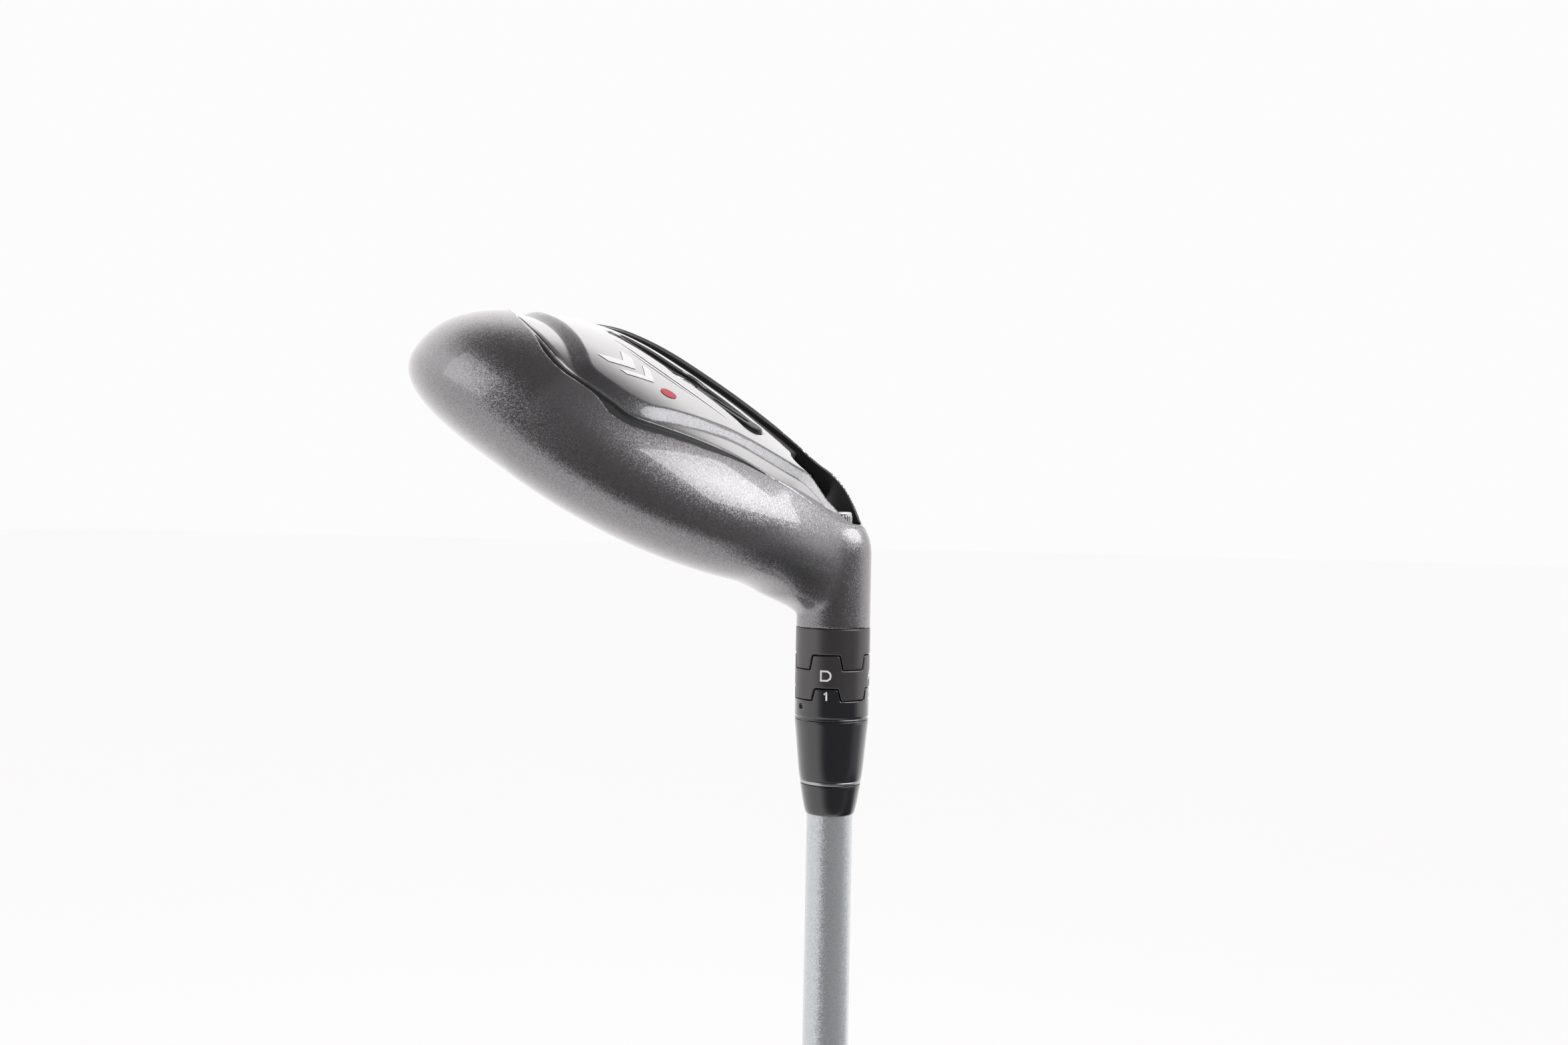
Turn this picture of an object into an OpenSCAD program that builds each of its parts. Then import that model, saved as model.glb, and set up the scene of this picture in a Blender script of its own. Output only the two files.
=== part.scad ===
// Right-handed adjustable hybrid golf club, head at the top, shaft straight down.
// +Z runs up the shaft axis from the grip end, +X is towards the toe, -Y is the target side.

/* [Club] */
// Length from the grip end to the ground line on the shaft axis, mm
club_len = 1016; // [965:1:1067]
// Lie angle between the shaft and the ground, degrees
lie = 59; // [57:0.5:61]
// Loft angle of the face, degrees
loft = 21; // [18:1:24]

/* [Head outline] */
// Toe end, measured along the ground from the shaft axis, mm
toe_x = 88.5; // [87:0.5:91]
// Heel end beyond the shaft axis, mm
heel_x = 12.9; // [12:0.1:13.5]
// Place of the widest section, mm
mid_x = 43.5; // [42:0.5:45]
// Rear reach of the widest section behind the shaft axis, mm
rear_reach = 49.2; // [47:0.2:51]
// Front reach of the loft before the face is cut, mm
front_reach = 34; // [33:0.5:35]
// Height of the crown over the ground, mm
crown_h = 33.6; // [32.5:0.1:34.5]
// Height of the widest line of the skirt, mm
skirt_h = 17.5; // [17:0.1:18]
// Leading edge ahead of the shaft axis, mm
lead_edge = 11; // [10.5:0.1:11.5]
// Height at which the toe end closes, mm
toe_h = 23.6; // [23:0.1:24.2]
// Height at which the heel end closes, mm
heel_h = 16.2; // [15.8:0.1:16.6]
// Forward lean of the sections, mm per mm of height
section_lean = 0.3; // [0.28:0.01:0.32]
// Roundness of the toe end (2 is an ellipse)
toe_round = 2.3; // [2.2:0.05:2.5]
// Roundness of the heel end (2 is an ellipse)
heel_round = 2.2; // [2.1:0.05:2.4]

/* [Walls] */
// Thickness of the cast shell, mm
shell_wall = 2.2; // [2:0.1:2.4]
// Depth from the face to the hollow, mm
face_wall = 4.2; // [4:0.1:4.6]
// Thickness of the forged face plate, mm
face_t = 2; // [1.8:0.1:2]
// Height over the ground of the seam between crown and body, mm
crown_seam = 24; // [23:0.5:25]

/* [Hosel and sleeve] */
// Outside radius of the hosel, its ring and sleeve collar, mm
hosel_r = 7.475; // [7.3:0.025:7.6]
// Bore radius of the hosel, mm
hosel_bore_r = 6.15; // [6.1:0.01:6.2]
// Radial running clearance between sleeve and hosel, mm
sleeve_gap = 0.07; // [0.05:0.01:0.09]
// Distance from the ground line back to the painted hosel's end line, mm
hosel_back = 32.1; // [31.7:0.1:32.5]
// Depth of the end clutch teeth, mm
tooth_h = 2.85; // [2.6:0.05:2.9]
// Thread travel of the head on its screw, mm
head_travel = 6.4; // [4.8:0.8:6.4]

/* [Hosel screw] */
// Thread radius of the M5 hosel screw, mm
screw_r = 2.5; // [2.45:0.01:2.5]
// Head radius of the hosel screw, mm
screw_head_r = 3.4; // [3.3:0.05:3.5]
// Radius of the wrench port in the sole, mm
port_r = 5; // [4.9:0.05:5.2]

/* [Weight bar] */
// Length of the weight bar, mm
bar_len = 40.6; // [39:0.2:42]
// Width of the weight bar, mm
bar_w = 6; // [5.8:0.1:6.2]
// Radius of the round lobe in the middle of the bar, mm
lobe_r = 4.1; // [4:0.05:4.2]
// Thickness of the weight bar, mm
bar_t = 4.5; // [4.3:0.1:4.6]
// Middle of the bar along the ground from the shaft axis, mm
bar_x = 35.6; // [35:0.1:36.2]
// Middle of the bar behind the shaft axis, mm
bar_back = 7; // [6.6:0.1:7.4]
// Thread travel of the bar on its screw, mm
bar_travel = 4.9; // [3.5:0.7:4.9]

/* [Front channel] */
// Heel end of the channel, mm
chan_x0 = 11; // [10:0.5:12]
// Toe end of the channel, mm
chan_x1 = 70; // [68:0.5:71]
// Width of the channel, mm
chan_w = 6.6; // [6.2:0.1:6.8]
// Middle of the channel ahead of the shaft axis, mm
chan_y = 2.4; // [2.3:0.1:2.5]
// Height over the ground of the channel floor, mm
chan_top = 7.5; // [7:0.1:8]

/* [Shaft and grip] */
// Radius of the parallel tip of the shaft, mm
tip_r = 4.7; // [4.65:0.01:4.7]
// Length of the parallel tip of the shaft, mm
tip_len = 130; // [110:5:150]
// Radius of the shaft at the butt, mm
butt_r = 7.62; // [7.4:0.02:7.7]
// Length of the grip, mm
grip_len = 267; // [255:1:275]
// Outside radius of the grip cap, mm
cap_r = 13.6; // [13.2:0.1:14]
// Outside radius of the grip at its mouth, mm
mouth_r = 8.9; // [8.8:0.05:9.4]
// Radius of the vent hole in the grip cap, mm
vent_r = 1.6; // [1.5:0.05:1.8]

/* [Hidden] */
$fn = 96;
eps = 0.05;            // joint gap between pieces that touch
reach = 150;           // length of cutting tools

// Heights on the shaft axis, from the grip end
hosel_z = club_len - hosel_back;      // end line of the painted hosel
collar_z = hosel_z - 8.15;            // tooth tips of the hosel collar
ring_top_z = collar_z + tooth_h;      // tooth tips of the ring
ring_bot_z = hosel_z - 14.2;          // tooth tips of the ring's lower side
sleeve_top_z = hosel_z - 11.9;        // tooth tips of the sleeve collar
sleeve_line_z = hosel_z - 18.4;       // line between the sleeve collar and the ferrule
trim_z = hosel_z - 30.95;             // groove of the ferrule
ferrule_end_z = hosel_z - 37.4;       // rounded end of the ferrule
tip_z = hosel_z + 3.6;                // end of the shaft inside the sleeve
sleeve_end_z = hosel_z + 14.1;        // threaded end of the sleeve
web_z = hosel_z + 15.8;               // underside of the web that holds the screw
seat_z = hosel_z + 19;                // seat of the hosel screw
washer_t = 0.5;
screw_head_h = 3.6;
screw_end_z = hosel_z + 5;
parallel_z = tip_z - tip_len;         // upper end of the shaft's taper
prep_z = ferrule_end_z - 0.3;         // from here the tip is bare, for the glue
prep_r = tip_r - 0.03;
cap_t = 4.5;
shaft_wall = 1.2;
sleeve_r = hosel_bore_r - sleeve_gap;

// Clutch teeth: four on each edge, angles about the shaft axis
upper_tooth = 47;
lower_tooth = 40;
tooth_gap = 1.6;
upper_turn = 100;
lower_turn = 101;

// The skirt, crown and sole exponents of the head's sections
rear_top_pow = 2.4;
rear_sole_pow = 3.2;
front_pow = 4;
crown_pow = 2;
sole_pow = 2.5;
toe_shift = 1.7;
heel_shift = 3.9;
face_foot = 2;        // height of the leading edge over the ground
neck_x = 18;          // toe side of the neck, where the crown plate starts
stations = 30;
ring_points = 44;
end_cut = 1.8;        // degrees left off each end of the head's sweep

module at_address() {
    translate([0, 0, club_len]) rotate([0, lie - 90, 0]) rotate([180, 0, 0]) children();
}

module along_shaft(z) { translate([0, 0, z]) children(); }

// Head loft: X to the toe, Y to the target, Z up from the ground
function along(x) = x >= mid_x ? (x - mid_x) / (toe_x - mid_x) : (mid_x - x) / (mid_x + heel_x);
function taper(x) = let (n = x >= mid_x ? toe_round : heel_round)
    pow(max(0, 1 - pow(min(1, along(x)), n)), 1 / n);
function spow(v, p) = sign(v) * pow(abs(v), p);
function middle_z(x) = skirt_h + ((x >= mid_x ? toe_h : heel_h) - skirt_h) * pow(along(x), 2);
function middle_y(x) = (x >= mid_x ? toe_shift : heel_shift) * pow(along(x), 2);
function section_point(x, a, inset) =
    let (c = cos(a), s = sin(a), e = taper(x), rear = c >= 0, top = s >= 0,
        ry = (rear ? rear_reach : front_reach) - inset,
        rz = (top ? crown_h - skirt_h : skirt_h) - inset,
        py = rear ? (top ? rear_top_pow : rear_sole_pow) : front_pow,
        pz = rear ? (top ? crown_pow : sole_pow) : front_pow,
        dz = spow(s, 2 / pz) * rz * e)
    [x, middle_y(x) - spow(c, 2 / py) * ry * e - section_lean * dz, middle_z(x) + dz];
// Station places along the head, close together at the ends
function station_x(i) =
    let (u = end_cut + (180 - 2 * end_cut) * i / stations, k = cos(u))
    mid_x + k * (k > 0 ? toe_x - mid_x : mid_x + heel_x);
function shrink_x(x, inset) = mid_x + (x - mid_x) * (1 - inset / (x >= mid_x ? toe_x - mid_x : mid_x + heel_x));

module head_loft(inset = 0) {
    n = ring_points;
    points = [for (i = [0:stations], j = [0:n - 1])
        let (x = station_x(i), p = section_point(x, 360 * (j + 0.5) / n, inset))
        [shrink_x(x, inset), p[1], p[2]]];
    sides = [for (i = [0:stations - 1], j = [0:n - 1])
        let (k = (j + 1) % n, a = i * n + j, b = i * n + k, c = (i + 1) * n + k, d = (i + 1) * n + j)
        each [[a, c, b], [a, d, c]]];
    ends = [[for (j = [0:n - 1]) j], [for (j = [n - 1:-1:0]) stations * n + j]];
    polyhedron(points = points, faces = concat(sides, ends), convexity = 4);
}

// Frame of the face: X along it, Z up it, Y out of it
module on_face() { translate([0, lead_edge, face_foot]) rotate([loft, 0, 0]) children(); }
module ahead_of_face(depth) {
    on_face() translate([-60, -depth, -60]) cube([200, 90, 150]);
}

function face_low(x) = (middle_z(x) - skirt_h * taper(x) - face_foot) / cos(loft);
function face_high(x) = (middle_z(x) + (crown_h - skirt_h) * taper(x) - face_foot) / cos(loft);
face_x0 = 6;
face_x1 = 80;
face_steps = 24;
function face_x(i) = face_x0 + (face_x1 - face_x0) * i / face_steps;
module face_outline(margin) {
    polygon(concat(
        [for (i = [0:face_steps]) let (x = face_x(i)) [x, face_low(x) + margin]],
        [for (i = [face_steps:-1:0]) let (x = face_x(i)) [x, face_high(x) - margin]]));
}
module face_slab(margin, back, thick) {
    on_face() translate([0, -back, 0]) rotate([90, 0, 0]) mirror([0, 0, 1])
        linear_extrude(thick) face_outline(margin);
}

// Weight bar outline and its place on the sole
bar_z = 0.9;          // height over the ground of the bar's outer face
pocket_top = bar_z + bar_t + 0.4;
boss_top = pocket_top + 9;
module bar_place() { at_address() translate([bar_x, -bar_back, bar_z]) children(); }
module bar_outline(grow) {
    circle(lobe_r + grow);
    square([bar_len - bar_w, bar_w + 2 * grow], center = true);
    for (side = [-1, 1]) translate([side * (bar_len - bar_w) / 2, 0]) circle(bar_w / 2 + grow);
}

// A tube with its foot at z0 and its top at z1
module tube(z0, z1, outer, inner) {
    along_shaft(z0) difference() {
        cylinder(h = z1 - z0, r = outer);
        translate([0, 0, -1]) cylinder(h = z1 - z0 + 2, r = inner);
    }
}
// Four wedges of a ring for the clutch teeth
module teeth(z0, z1, outer, inner, width, turn) {
    for (k = [0:3]) rotate([0, 0, turn + 90 * k - width / 2]) along_shaft(z0)
        rotate_extrude(angle = width) translate([inner, 0]) square([outer - inner, z1 - z0]);
}

module head_solid(inset, face_back) {
    at_address() difference() {
        head_loft(inset);
        ahead_of_face(face_back);
    }
}

module head_shell() {
    difference() {
        union() {
            head_solid(0, 0);
            along_shaft(hosel_z) cylinder(h = 12, r = hosel_r);
            along_shaft(hosel_z + 12) cylinder(h = 6, r1 = hosel_r, r2 = hosel_r - 1.2);
        }
        difference() {
            head_solid(shell_wall, face_wall);
            along_shaft(hosel_z - 5) cylinder(h = 60, r = hosel_r);
            bar_place() translate([0, 0, -5]) linear_extrude(5 + pocket_top - bar_z + 1.4) bar_outline(1.6);
            bar_place() cylinder(h = boss_top - bar_z + 1.5, r = 4.4);
            at_address() translate([chan_x0 - 2, chan_y - chan_w / 2 - 1.5, -5])
                cube([chan_x1 - chan_x0 + 4, chan_w + 3, chan_top + 6.5]);
        }
        // hosel bore, web hole and wrench port
        along_shaft(hosel_z - 1) cylinder(h = web_z - hosel_z + 1, r = hosel_bore_r);
        along_shaft(web_z - 1) cylinder(h = seat_z - web_z + 2, r = screw_r + 0.25);
        along_shaft(seat_z) cylinder(h = 30, r = port_r);
        // pocket and thread hole of the weight bar
        bar_place() translate([0, 0, -8]) linear_extrude(8 + pocket_top - bar_z) bar_outline(0.3);
        bar_place() cylinder(h = boss_top - bar_z, r = 3.2 + eps);
        // channel and face pockets
        at_address() translate([chan_x0, chan_y - chan_w / 2, -5])
            cube([chan_x1 - chan_x0, chan_w, chan_top + 5]);
        at_address() face_slab(2.6, face_t + eps, 20);
        at_address() face_slab(4.6, 12, 20);
    }
}

module crown_zone(gap) {
    at_address() difference() {
        translate([neck_x + gap, -70, crown_seam + gap]) cube([120, 100, 30]);
        ahead_of_face(face_wall + 2 + gap);
    }
}

module head_body() {
    color([0.29, 0.28, 0.30]) difference() {
        head_shell();
        crown_zone(0);
    }
}
module crown_shell() {
    color([0.33, 0.32, 0.34]) intersection() {
        head_shell();
        crown_zone(eps);
    }
}

module face_plate() {
    groove_n = 8;
    groove_step = 3.3;
    groove_low = 5;
    groove_len = 44;
    color([0.45, 0.45, 0.46]) difference() {
        at_address() face_slab(2.6 + eps, face_t, face_t);
        for (k = [0:groove_n - 1])
            at_address() on_face() translate([mid_x - groove_len / 2, -0.4, groove_low + k * groove_step])
                cube([groove_len, 2, 0.8]);
    }
}

module hosel_collar() {
    color([0.29, 0.28, 0.28]) {
        difference() {
            tube(collar_z, hosel_z - eps, hosel_r, hosel_bore_r);
            teeth(collar_z - 1, ring_top_z + 0.1, hosel_r + 1, hosel_bore_r - 1, upper_tooth + 2 * tooth_gap, upper_turn);
        }
    }
}

module channel_insert() {
    color([0.06, 0.06, 0.07]) intersection() {
        at_address() translate([chan_x0 + eps, chan_y - chan_w / 2 + eps, -5])
            cube([chan_x1 - chan_x0 - 2 * eps, chan_w - 2 * eps, chan_top + 5 - eps]);
        head_solid(0.9, 0);
    }
}

module weight_bar() {
    color([0.20, 0.20, 0.21]) bar_place() difference() {
        linear_extrude(bar_t) bar_outline(0);
        translate([0, 0, -1]) cylinder(h = 3.2, r = 3.15);
        translate([0, 0, -1]) cylinder(h = bar_t + 2, r = 2.3);
    }
}
module weight_screw() {
    color([0.72, 0.72, 0.74]) bar_place() difference() {
        union() {
            translate([0, 0, 0.15]) cylinder(h = 2, r = 2.9);
            translate([0, 0, 2]) cylinder(h = 3.1, r = 2);
            translate([0, 0, 4.9]) cylinder(h = 0.9, r = 1.7);
            translate([0, 0, 5.6]) cylinder(h = 6.3, r = 2);
        }
        translate([0, 0, -0.5]) cylinder(h = 2, r = 1.6, $fn = 6);
    }
}
module weight_screw_clip() {
    color([0.6, 0.6, 0.62]) bar_place() translate([0, 0, 5.15]) difference() {
        cylinder(h = 0.4, r = 2.9);
        translate([0, 0, -1]) cylinder(h = 3, r = 1.75);
        translate([0, -0.7, -1]) cube([6, 1.4, 3]);
    }
}
module weight_thread_insert() {
    color([0.55, 0.55, 0.57]) bar_place() translate([0, 0, 6.2]) difference() {
        cylinder(h = boss_top - bar_z - 6.2 - eps, r = 3.2);
        translate([0, 0, -1]) cylinder(h = 7.5, r = 2 + eps);
    }
}

module hosel_screw() {
    head_z = seat_z + washer_t + eps;
    color([0.78, 0.78, 0.80]) difference() {
        union() {
            along_shaft(head_z) cylinder(h = screw_head_h, r = screw_head_r);
            along_shaft(web_z - 0.5) cylinder(h = head_z - web_z + 0.6, r = screw_r);
            along_shaft(web_z - 1.3) cylinder(h = 1.2, r = 2.1);
            along_shaft(screw_end_z) cylinder(h = web_z - 1.0 - screw_end_z, r = screw_r);
        }
        along_shaft(head_z + screw_head_h - 2.4) cylinder(h = 3, r = 2.1, $fn = 6);
    }
}
module hosel_screw_washer() {
    color([0.66, 0.66, 0.68]) tube(seat_z + 0.02, seat_z + washer_t, 4.6, screw_r + 0.3);
}
module hosel_screw_clip() {
    color([0.6, 0.6, 0.62]) difference() {
        tube(web_z - 0.95, web_z - 0.55, 3.9, 2.15);
        along_shaft(web_z - 2) translate([0, -0.8, 0]) cube([6, 1.6, 4]);
    }
}

module hosel_ring() {
    color([0.30, 0.29, 0.29]) difference() {
        tube(ring_bot_z, ring_top_z, hosel_r, hosel_bore_r);
        teeth(collar_z - 0.1, ring_top_z + 1, hosel_r + 1, hosel_bore_r - 1, 90 - upper_tooth, upper_turn + 45);
        teeth(ring_bot_z - 1, sleeve_top_z + 0.1, hosel_r + 1, hosel_bore_r - 1, lower_tooth + 2 * tooth_gap, lower_turn);
    }
}

module shaft_sleeve() {
    color([0.10, 0.10, 0.12]) difference() {
        union() {
            difference() {
                along_shaft(sleeve_line_z) cylinder(h = sleeve_top_z - sleeve_line_z, r = hosel_r);
                teeth(ring_bot_z - 0.1, sleeve_top_z + 1, hosel_r + 1, 3, 90 - lower_tooth, lower_turn + 45);
            }
            along_shaft(sleeve_line_z + 1) cylinder(h = sleeve_end_z - sleeve_line_z - 1, r = sleeve_r);
        }
        along_shaft(sleeve_line_z - 1) cylinder(h = tip_z + 0.3 - sleeve_line_z + 1, r = tip_r + eps);
        along_shaft(screw_end_z - 0.5) cylinder(h = 20, r = screw_r + eps);
    }
}

module ferrule() {
    color([0.07, 0.07, 0.09]) difference() {
        along_shaft(ferrule_end_z) rotate_extrude() polygon([
            [tip_r + eps, 0], [4.85, 0], [5.05, 0.35], [5.32, 1.4], [5.6, 2.85], [5.86, 4.4],
            [6.2, 6.45], [6.48, 8.5], [6.68, 10.5], [6.88, 12.7], [7.1, 15], [7.3, 17],
            [hosel_r, 18.4], [hosel_r, 19 - eps], [tip_r + eps, 19 - eps]]);
        tube(trim_z - 0.45, trim_z + 0.45, hosel_r + 1, 5.78);
    }
}
module ferrule_trim() {
    color([0.75, 0.76, 0.78]) tube(trim_z - 0.4, trim_z + 0.4, 6.26, 5.83);
}

function shaft_r(z) = z >= parallel_z ? tip_r
    : tip_r + (butt_r - tip_r) * min(1, (parallel_z - z) / (parallel_z - 60));
module shaft() {
    color([0.74, 0.76, 0.79]) rotate_extrude() polygon([
        [shaft_r(0) - shaft_wall, 2.5], [shaft_r(0), 2.5], [shaft_r(60), 60], [tip_r, parallel_z],
        [tip_r, prep_z], [prep_r, prep_z], [prep_r, tip_z], [tip_r - 1.5, tip_z],
        [tip_r - 1.5, parallel_z], [shaft_r(60) - shaft_wall, 60]]);
}
module tip_plug() {
    color([0.72, 0.58, 0.40]) along_shaft(tip_z - 34) cylinder(h = 6, r = tip_r - 1.5 - eps);
}
module tip_weight() {
    color([0.78, 0.64, 0.30]) along_shaft(tip_z - 27) {
        cylinder(h = 26, r = tip_r - 1.5 - eps);
    }
}

tape_t = 0.2;
module grip_tape() {
    z0 = cap_t + 1;
    z1 = grip_len - 4;
    color([0.90, 0.88, 0.80]) rotate_extrude() polygon([
        [shaft_r(z0) + eps, z0], [shaft_r(z0) + tape_t, z0], [shaft_r(60) + tape_t, 60],
        [shaft_r(z1) + tape_t, z1], [shaft_r(z1) + eps, z1], [shaft_r(60) + eps, 60]]);
}
module grip() {
    z0 = cap_t + eps;
    gap = tape_t + eps;
    color([0.05, 0.05, 0.055]) rotate_extrude() polygon([
        [shaft_r(z0) + gap, z0], [12.9, z0], [12.6, 12], [12.1, 30], [11.6, 60], [11.1, 100],
        [10.4, 160], [9.7, 215], [mouth_r + 0.1, grip_len - 6], [mouth_r, grip_len - 1.2],
        [mouth_r - 0.7, grip_len], [shaft_r(grip_len) + gap, grip_len], [shaft_r(60) + gap, 60]]);
}
module grip_cap() {
    gap_cap = 0.08;
    color([0.08, 0.08, 0.085]) difference() {
        rotate_extrude() polygon([[0, 0], [cap_r - 1.6, 0], [cap_r - 0.5, 0.5], [cap_r, 1.6],
            [cap_r, 3.2], [cap_r - 0.5, cap_t], [shaft_r(0) + gap_cap, cap_t],
            [shaft_r(0) + gap_cap, 2.4], [0, 2.4]]);
        along_shaft(-1) cylinder(h = 5, r = vent_r);
    }
}

head_body();
crown_shell();
face_plate();
hosel_collar();
channel_insert();
weight_bar();
weight_screw();
weight_screw_clip();
weight_thread_insert();
hosel_screw();
hosel_screw_washer();
hosel_screw_clip();
hosel_ring();
shaft_sleeve();
ferrule();
ferrule_trim();
shaft();
tip_plug();
tip_weight();
grip_tape();
grip();
grip_cap();
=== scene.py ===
"""Looks of an adjustable hybrid golf club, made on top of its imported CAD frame.

Lengths in the shape code are millimetres. "Address" coordinates are those of a club held
ready to play: X to the toe, Y to the target, Z up from the ground, with the origin where the
shaft axis meets the ground. The row frame is the CAD's: +Z up the shaft, head on top.
"""
import math

import bmesh
import bpy
import numpy as np
from mathutils import Matrix, Vector


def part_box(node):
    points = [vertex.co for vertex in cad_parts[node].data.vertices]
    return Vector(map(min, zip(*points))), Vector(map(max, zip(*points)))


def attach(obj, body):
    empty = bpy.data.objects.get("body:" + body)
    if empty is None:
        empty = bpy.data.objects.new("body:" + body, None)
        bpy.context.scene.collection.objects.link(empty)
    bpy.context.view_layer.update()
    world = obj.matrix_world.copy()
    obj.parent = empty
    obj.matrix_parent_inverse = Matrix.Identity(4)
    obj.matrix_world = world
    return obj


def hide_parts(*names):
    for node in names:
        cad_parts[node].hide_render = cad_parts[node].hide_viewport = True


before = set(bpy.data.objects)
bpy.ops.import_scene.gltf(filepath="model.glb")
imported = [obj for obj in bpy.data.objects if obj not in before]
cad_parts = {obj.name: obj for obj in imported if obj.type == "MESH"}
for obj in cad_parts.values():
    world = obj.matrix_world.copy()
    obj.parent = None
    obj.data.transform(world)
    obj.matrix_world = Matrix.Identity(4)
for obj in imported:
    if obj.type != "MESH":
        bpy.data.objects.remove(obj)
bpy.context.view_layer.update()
MM = 0.001

# ---------------------------------------------------------------- sizes from the frame


def low(node):
    return np.array(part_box(node)[0]) / MM


def high(node):
    return np.array(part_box(node)[1]) / MM


HOSEL_Z = high("hosel_collar")[2] + 0.05     # end line of the painted hosel
GROUND_Z = HOSEL_Z + 32.1                    # ground line on the shaft axis
HOSEL_R = (high("hosel_collar")[0] - low("hosel_collar")[0]) / 2
BORE_R = 6.15
PORT_R = 5.0
SEAT_Z = low("hosel_screw_washer")[2] - 0.02
LIE = math.radians(59)
LOFT = math.radians(21)
SIN, COS = math.sin(LIE), math.cos(LIE)

# Outline of the head, as in the CAD
TOE_X, HEEL_X, MID_X = 88.5, 12.9, 43.5
REAR, FRONT, CROWN, SKIRT = 49.2, 34.0, 33.6, 17.5
TOE_Z, HEEL_Z, TOE_Y, HEEL_Y = 23.6, 16.2, 1.7, 3.9
LEAN, LEAD, FOOT = 0.3, 11.0, 2.0
BAR_X, BAR_Y, BAR_Z = 35.6, -7.0, 0.9
BAR_LEN, BAR_W, LOBE_R, BAR_T = 40.6, 6.0, 4.1, 4.5
HOSEL_LEN = 22.8      # how far the hosel's tube runs into the head
WEB_Z = 15.8          # floor of the bore, over the hosel line
CHANNEL_TOP = 7.5     # roof of the channel, in address Z
FLARE_Z, FLARE = 21, 0.3     # where the wrench port starts to widen, and how much a millimetre


def to_row(p):
    """Address points to the row frame, both in mm."""
    x, y, z = p.T
    return np.stack([x * SIN + z * COS, -y, GROUND_Z + x * COS - z * SIN], 1)


# ---------------------------------------------------------------- implicit shapes


def soft_min(a, b, k):
    h = np.clip(0.5 + 0.5 * (b - a) / k, 0, 1)
    return b + (a - b) * h - k * h * (1 - h)


def soft_max(a, b, k):
    return -soft_min(-a, -b, k)


def ramp(a, b, v):
    t = np.clip((v - a) / (b - a), 0, 1)
    return t * t * (3 - 2 * t)


def gradient(field, p, h):
    base = field(p)
    parts = []
    for axis in range(3):
        q = p.copy()
        q[:, axis] += h
        parts.append((field(q) - base) / h)
    return base, np.stack(parts, 1)


def in_chunks(field, p, size=400000):
    return np.concatenate([field(p[i:i + size]) for i in range(0, len(p), size)])


def surface(field, lo, hi, step, block=5):
    """Corners and quads of field = 0 inside a box. Cells away from the surface are skipped."""
    lo, hi = np.array(lo, float), np.array(hi, float)
    cells = np.ceil((hi - lo) / step / block).astype(int) * block
    coarse = [lo[a] + (np.arange(cells[a] // block) + 0.5) * block * step for a in range(3)]
    centres = np.stack(np.meshgrid(*coarse, indexing="ij"), -1).reshape(-1, 3)
    value = in_chunks(field, centres).reshape([len(c) for c in coarse])
    near = np.abs(value) < block * step * 1.5
    grid = np.ones(cells + 1, np.float32)
    sign = np.where(value < 0, -9.0, 9.0).astype(np.float32)
    for axis in range(3):
        sign = np.repeat(sign, block, axis)
    grid[:-1, :-1, :-1] = sign
    index = np.argwhere(near)
    offset = np.stack(np.meshgrid(*[np.arange(block + 1)] * 3, indexing="ij"), -1).reshape(-1, 3)
    nodes = (index[:, None, :] * block + offset[None]).reshape(-1, 3)
    keys = np.unique(np.ravel_multi_index(nodes.T, grid.shape))
    nodes = np.stack(np.unravel_index(keys, grid.shape), 1)
    grid.ravel()[keys] = in_chunks(field, lo + nodes * step)
    inside = grid < 0
    count = sum(inside[i:cells[0] + i, j:cells[1] + j, k:cells[2] + k].astype(np.int8)
                for i in (0, 1) for j in (0, 1) for k in (0, 1))
    cell = np.argwhere((count > 0) & (count < 8))
    number = np.full(cells, -1, np.int64)
    number[tuple(cell.T)] = np.arange(len(cell))
    total, hits = np.zeros((len(cell), 3)), np.zeros(len(cell))
    quads = []
    for axis in range(3):
        u, v = [a for a in range(3) if a != axis]
        step_axis = np.eye(3, dtype=int)[axis]
        for du in (0, 1):
            for dv in (0, 1):
                start = cell.copy()
                start[:, u] += du
                start[:, v] += dv
                a, b = grid[tuple(start.T)], grid[tuple((start + step_axis).T)]
                cross = (a < 0) != (b < 0)
                place = start[cross].astype(float)
                place[:, axis] += (a / (a - b))[cross]
                total[cross] += place
                hits[cross] += 1
        limit = [slice(None)] * 3
        limit[axis] = slice(0, cells[axis])
        limit[u], limit[v] = slice(1, cells[u]), slice(1, cells[v])
        shift = list(limit)
        shift[axis] = slice(1, cells[axis] + 1)
        flips = inside[tuple(limit)] != inside[tuple(shift)]
        edge = np.argwhere(flips)
        edge[:, u] += 1
        edge[:, v] += 1
        eu, ev = np.eye(3, dtype=int)[u], np.eye(3, dtype=int)[v]
        ring = [number[tuple((edge - s).T)] for s in (0 * eu, eu, eu + ev, ev)]
        quad = np.stack(ring, 1)
        outward = inside[tuple(edge.T)] ^ (axis == 1)
        quad[~outward] = quad[~outward][:, ::-1]
        quads.append(quad)
    points = lo + total / hits[:, None] * step
    quads = np.concatenate(quads)
    quads = quads[(quads >= 0).all(1)]
    for _ in range(3):
        base, slope = gradient(field, points, 0.02)
        move = (base / np.maximum((slope ** 2).sum(1), 0.2))[:, None] * slope
        size = np.linalg.norm(move, axis=1, keepdims=True)
        points -= move * np.minimum(1, 0.5 * step / np.maximum(size, 1e-9))
    return points, quads


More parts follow.
